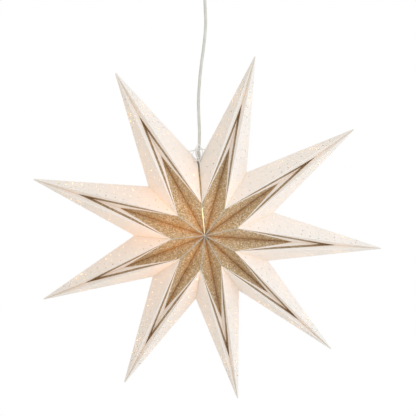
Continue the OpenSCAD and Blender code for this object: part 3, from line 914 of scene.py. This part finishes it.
strands = [tube(ease(route, STRING_STEPS), STRING_D / 2, STRING_SIDES) for route in (loop, bow)]
string_points = np.vstack([points for points, _ in strands])
string_faces = strands[0][1] + [[k + len(strands[0][0]) for k in face] for face in strands[1][1]]
string = mesh_piece("tied_string", string_points, string_faces, [STRING])
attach(string, "root")
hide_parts("tie_string")
print("The string has", len(string_faces), "faces in", len(strands), "strands")

# %% [markdown]
# ## The lamp, its holder and the ceiling fitting
# These keep the solids' shapes and get their finishes. The holder and the ceiling fitting are injection
# moulded, their metal is plated or rolled, and the lamp is an opal globe that glows. Almost all of this is
# hidden, so each finish has one soft pattern and no more.


# %% Plastic and ceramic
# Injection-moulded ABS or polycarbonate: an IOR of 1.5, and a roughness near 0.4 from the mould's satin
# finish. Unglazed ceramic takes the same nodes with a roughness of 0.8. The tone drifts over 25 mm, and the
# skin's grain of about 0.7 mm is only in the bump.
def moulded_material(name, shade_a, shade_b, roughness):
    material, tree, output = new_material(name)
    place = add(tree, "TexCoord").outputs["Object"]
    tone = add(tree, "TexNoise", inputs={"Vector": place, "Scale": 40.0, "Detail": 2.0})
    shade = add(tree, "ValToRGB", inputs={"Fac": tone.outputs["Fac"]}, stops=[
        (0.3, colour(shade_a)), (0.7, colour(shade_b)),
    ])
    grain = add(tree, "TexNoise", inputs={"Vector": place, "Scale": 1500.0})
    bump = add(tree, "Bump", inputs={"Height": grain.outputs["Fac"], "Strength": 0.06, "Distance": 0.0002})
    front = add(tree, "BsdfPrincipled", inputs={
        "Base Color": shade.outputs["Color"], "Roughness": roughness, "IOR": 1.5,
        "Normal": bump.outputs["Normal"],
    })
    tree.links.new(front.outputs["BSDF"], output.inputs["Surface"])
    return material


WHITE_PLASTIC = moulded_material("white_moulded_plastic", "#E6E5E0", "#EDECE8", 0.4)
IVORY_PLASTIC = moulded_material("ivory_moulded_plastic", "#DDD8C6", "#E6E2D2", 0.5)
CORE_CERAMIC = moulded_material("unglazed_ceramic", "#DEDAD0", "#EAE6DE", 0.8)
print("Made", WHITE_PLASTIC.name, IVORY_PLASTIC.name, "and", CORE_CERAMIC.name)


# %% Brass and zinc
# Rolled sheet brass and zinc-plated steel: full metallic, the default IOR, and a roughness of 0.3 to 0.38
# for thin sheet that has been pressed and not polished. Grain sizes are 5 mm on the brass, 8 mm for the
# plating's drift on the ceiling plate, and 3 mm on the screws.
def sheet_metal_material(name, shade_a, shade_b, roughness, grain_scale):
    material, tree, output = new_material(name)
    place = add(tree, "TexCoord").outputs["Object"]
    grain = add(tree, "TexNoise", inputs={"Vector": place, "Scale": grain_scale, "Detail": 3.0})
    shade = add(tree, "ValToRGB", inputs={"Fac": grain.outputs["Fac"]}, stops=[
        (0.3, colour(shade_a)), (0.7, colour(shade_b)),
    ])
    front = add(tree, "BsdfPrincipled", inputs={
        "Base Color": shade.outputs["Color"], "Metallic": 1.0, "Roughness": roughness,
    })
    tree.links.new(front.outputs["BSDF"], output.inputs["Surface"])
    return material


SLEEVE_BRASS = sheet_metal_material("rolled_brass", "#B98E3F", "#C79C4C", 0.35, 200.0)
CONTACT_BRASS = sheet_metal_material("spring_brass", "#B98E3F", "#C79C4C", 0.3, 200.0)
PLATE_ZINC = sheet_metal_material("zinc_plated_steel", "#B4B8BA", "#C6C9CA", 0.38, 120.0)
SCREW_ZINC = sheet_metal_material("zinc_plated_screw", "#B0B4B6", "#C4C7C8", 0.35, 300.0)
print("Made", SLEEVE_BRASS.name, CONTACT_BRASS.name, PLATE_ZINC.name, "and", SCREW_ZINC.name)


# %% Opal globe
# Opal plastic over lamps on a board, so the whole globe glows evenly and warm. Its roughness is 0.35, and a
# haze of about 33 mm keeps it from looking like a disc.
def globe_material():
    material, tree, output = new_material("opal_lamp_globe")
    place = add(tree, "TexCoord").outputs["Object"]
    haze = add(tree, "TexNoise", inputs={"Vector": place, "Scale": 30.0})
    shade = add(tree, "ValToRGB", inputs={"Fac": haze.outputs["Fac"]}, stops=[
        (0.3, colour("#FFF3DE")), (0.7, colour("#FFF8EC")),
    ])
    front = add(tree, "BsdfPrincipled", inputs={
        "Base Color": shade.outputs["Color"], "Roughness": 0.35,
        "Emission Color": colour("#FFDD9C"), "Emission Strength": 2.2,
    })
    tree.links.new(front.outputs["BSDF"], output.inputs["Surface"])
    return material


OPAL_GLOBE = globe_material()
print("Made", OPAL_GLOBE.name)

# %% [markdown]
# ### Finishes
# Each hard piece keeps the mesh that the frame gives it, and only its material is changed. So one table of
# pieces and finishes does for all of them.

# %% Finishes of the hard pieces
FINISHES = {
    "ceiling_cup": WHITE_PLASTIC, "cup_grip": WHITE_PLASTIC, "grip_nut": WHITE_PLASTIC,
    "cord_bush": WHITE_PLASTIC, "holder_cap": WHITE_PLASTIC, "holder_shell": WHITE_PLASTIC,
    "terminal_block": IVORY_PLASTIC, "holder_core": CORE_CERAMIC, "screw_sleeve": SLEEVE_BRASS,
    "centre_contact": CONTACT_BRASS, "ceiling_plate": PLATE_ZINC, "cup_screws": SCREW_ZINC,
    "led_lamp": OPAL_GLOBE,
}
for node_name, finish in FINISHES.items():
    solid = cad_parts[node_name]
    solid.data.materials.clear()
    solid.data.materials.append(finish)
print("Finished", len(FINISHES), "hard pieces")

# %% [markdown]
# ## Light and background
# The photograph is a cut-out on white with soft, even light. The sky gives most of it, a little brighter and
# cooler on the right, and a broad lamp in front and to the right gives the folds their shading. A pale floor
# lies far below. The camera sees plain white behind the star.


# %% Key lamp and floor
KEY_PLACE = (0.55, -1.05, -0.3)
KEY_SIZE, KEY_WATTS = 0.8, 2.4
FLOOR_Z, FLOOR_HALF = -2400, 2500


def soft_lamp(name, place, size, watts, shade):
    """A square area lamp that faces the star's middle."""
    data = bpy.data.lights.new(name, "AREA")
    data.size = size
    data.energy = watts
    data.color = colour(shade)[:3]
    lamp = bpy.data.objects.new(name, data)
    bpy.context.scene.collection.objects.link(lamp)
    lamp.location = place
    toward = Vector(STAR_MIDDLE * MM) - Vector(place)
    lamp.rotation_mode = "QUATERNION"
    lamp.rotation_quaternion = toward.to_track_quat("-Z", "Y")
    return lamp


def studio_floor(z_mm, half_mm):
    """A pale matt square far below the star, z_mm from the ceiling, that the camera sees as plain white."""
    material, tree, output = new_material("pale_floor")
    front = add(tree, "BsdfPrincipled", inputs={"Base Color": colour("#F7F7F7"), "Roughness": 0.9})
    ray = add(tree, "LightPath")
    white = add(tree, "Emission", inputs={"Color": colour("#FFFFFF"), "Strength": 1.0})
    seen = add(tree, "MixShader", inputs={
        0: ray.outputs["Is Camera Ray"], 1: front.outputs[0], 2: white.outputs[0],
    })
    tree.links.new(seen.outputs[0], output.inputs["Surface"])
    corners = half_mm * np.array([[-1, -1, 0], [1, -1, 0], [1, 1, 0], [-1, 1, 0]]) + [0, 0, z_mm]
    floor = mesh_piece("floor", corners, [[0, 1, 2, 3]], [material])
    return floor


key = soft_lamp("key", KEY_PLACE, KEY_SIZE, KEY_WATTS, "#E4F0FF")
floor = studio_floor(FLOOR_Z, FLOOR_HALF)
print("Key lamp:", round(key.data.energy, 1), "W; floor:", round(floor.dimensions.x, 1), "m wide")

# %% [markdown]
# ### The light inside
# The globe shines as a round lamp just outside its glass, a little toward the left, where the paper glows
# most. On the real star the paper's inside scatters that light on into the tips. Two faint lamps in each
# spike stand for that, so that the tips and their pinholes are lit too.

# %% Inner lights
GLOBE_LEFT = 0.018
GLOBE_UP = 0.0225
GLOBE_WATTS, GLOBE_LIGHT_R = 2.0, 0.0235
# The two lamps in each spike: name, distance from the star's axis in mm, watts, and own radius in m.
SCATTERED = [("scattered_light", 160.0, 0.04, 0.01), ("scattered_light_far", 225.0, 0.02, 0.006)]


def inner_light(name, place, watts, radius):
    """A warm round lamp inside the star, which the camera doesn't see."""
    data = bpy.data.lights.new(name, "POINT")
    data.energy = watts
    data.color = colour("#FFD98A")[:3]
    data.shadow_soft_size = radius
    lamp = bpy.data.objects.new(name, data)
    bpy.context.scene.collection.objects.link(lamp)
    lamp.location = place
    lamp.visible_camera = False
    return lamp


globe_low, globe_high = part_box("led_lamp")
globe_place = (globe_low[0] / 2 + globe_high[0] / 2 - GLOBE_LEFT, 0.0, globe_low[2] + GLOBE_UP)
inner_light("globe_light", globe_place, GLOBE_WATTS, GLOBE_LIGHT_R)
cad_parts["led_lamp"].visible_shadow = False
for i in range(len(WIDTHS)):
    for label, r, watts, radius in SCATTERED:
        inner_light(f"{label}_{i + 1}", into_place([[r, 0, 0]], i)[0] * MM, watts, radius)
print("Inner lights:", 1 + len(SCATTERED) * len(WIDTHS))

# %% [markdown]
# ### The sky
# A sky of one even tone is the simplest soft light, and two tints give it a side that it comes from. Light
# Path swaps it for plain white where the camera sees it, straight, in a reflection or through a clear piece.

# %% Sky
SKY_STRENGTH = 1.09
world = bpy.data.worlds.new("studio")
bpy.context.scene.world = world
world.use_nodes = True
sky = world.node_tree
sky.nodes.clear()
rays = add(sky, "LightPath").outputs
seen = add(sky, "Math", {"operation": "MAXIMUM"}, {0: rays["Is Camera Ray"], 1: rays["Is Glossy Ray"]})
seen = add(sky, "Math", {"operation": "MAXIMUM"}, {0: seen.outputs[0], 1: rays["Is Transmission Ray"]})
shown = add(sky, "Background", inputs={"Color": colour("#FFFFFF"), "Strength": 1.0})
aim = add(sky, "SeparateXYZ", inputs={"Vector": add(sky, "TexCoord").outputs["Generated"]})
rightward = add(sky, "MapRange", inputs={"Value": aim.outputs["X"], "From Min": -1.0, "From Max": 1.0})
around_star = add(sky, "Mix", {"data_type": "RGBA"}, {
    0: rightward.outputs["Result"], 6: colour("#DCD6CD"), 7: colour("#F6FCFF"),
})
lit = add(sky, "Background", inputs={"Color": around_star.outputs[2], "Strength": SKY_STRENGTH})
both = add(sky, "MixShader", inputs={0: seen.outputs[0], 1: lit.outputs[0], 2: shown.outputs[0]})
add(sky, "OutputWorld", inputs={"Surface": both.outputs[0]})
bpy.context.scene.view_settings.view_transform = "Standard"
print("Sky strength", round(lit.inputs["Strength"].default_value, 2))
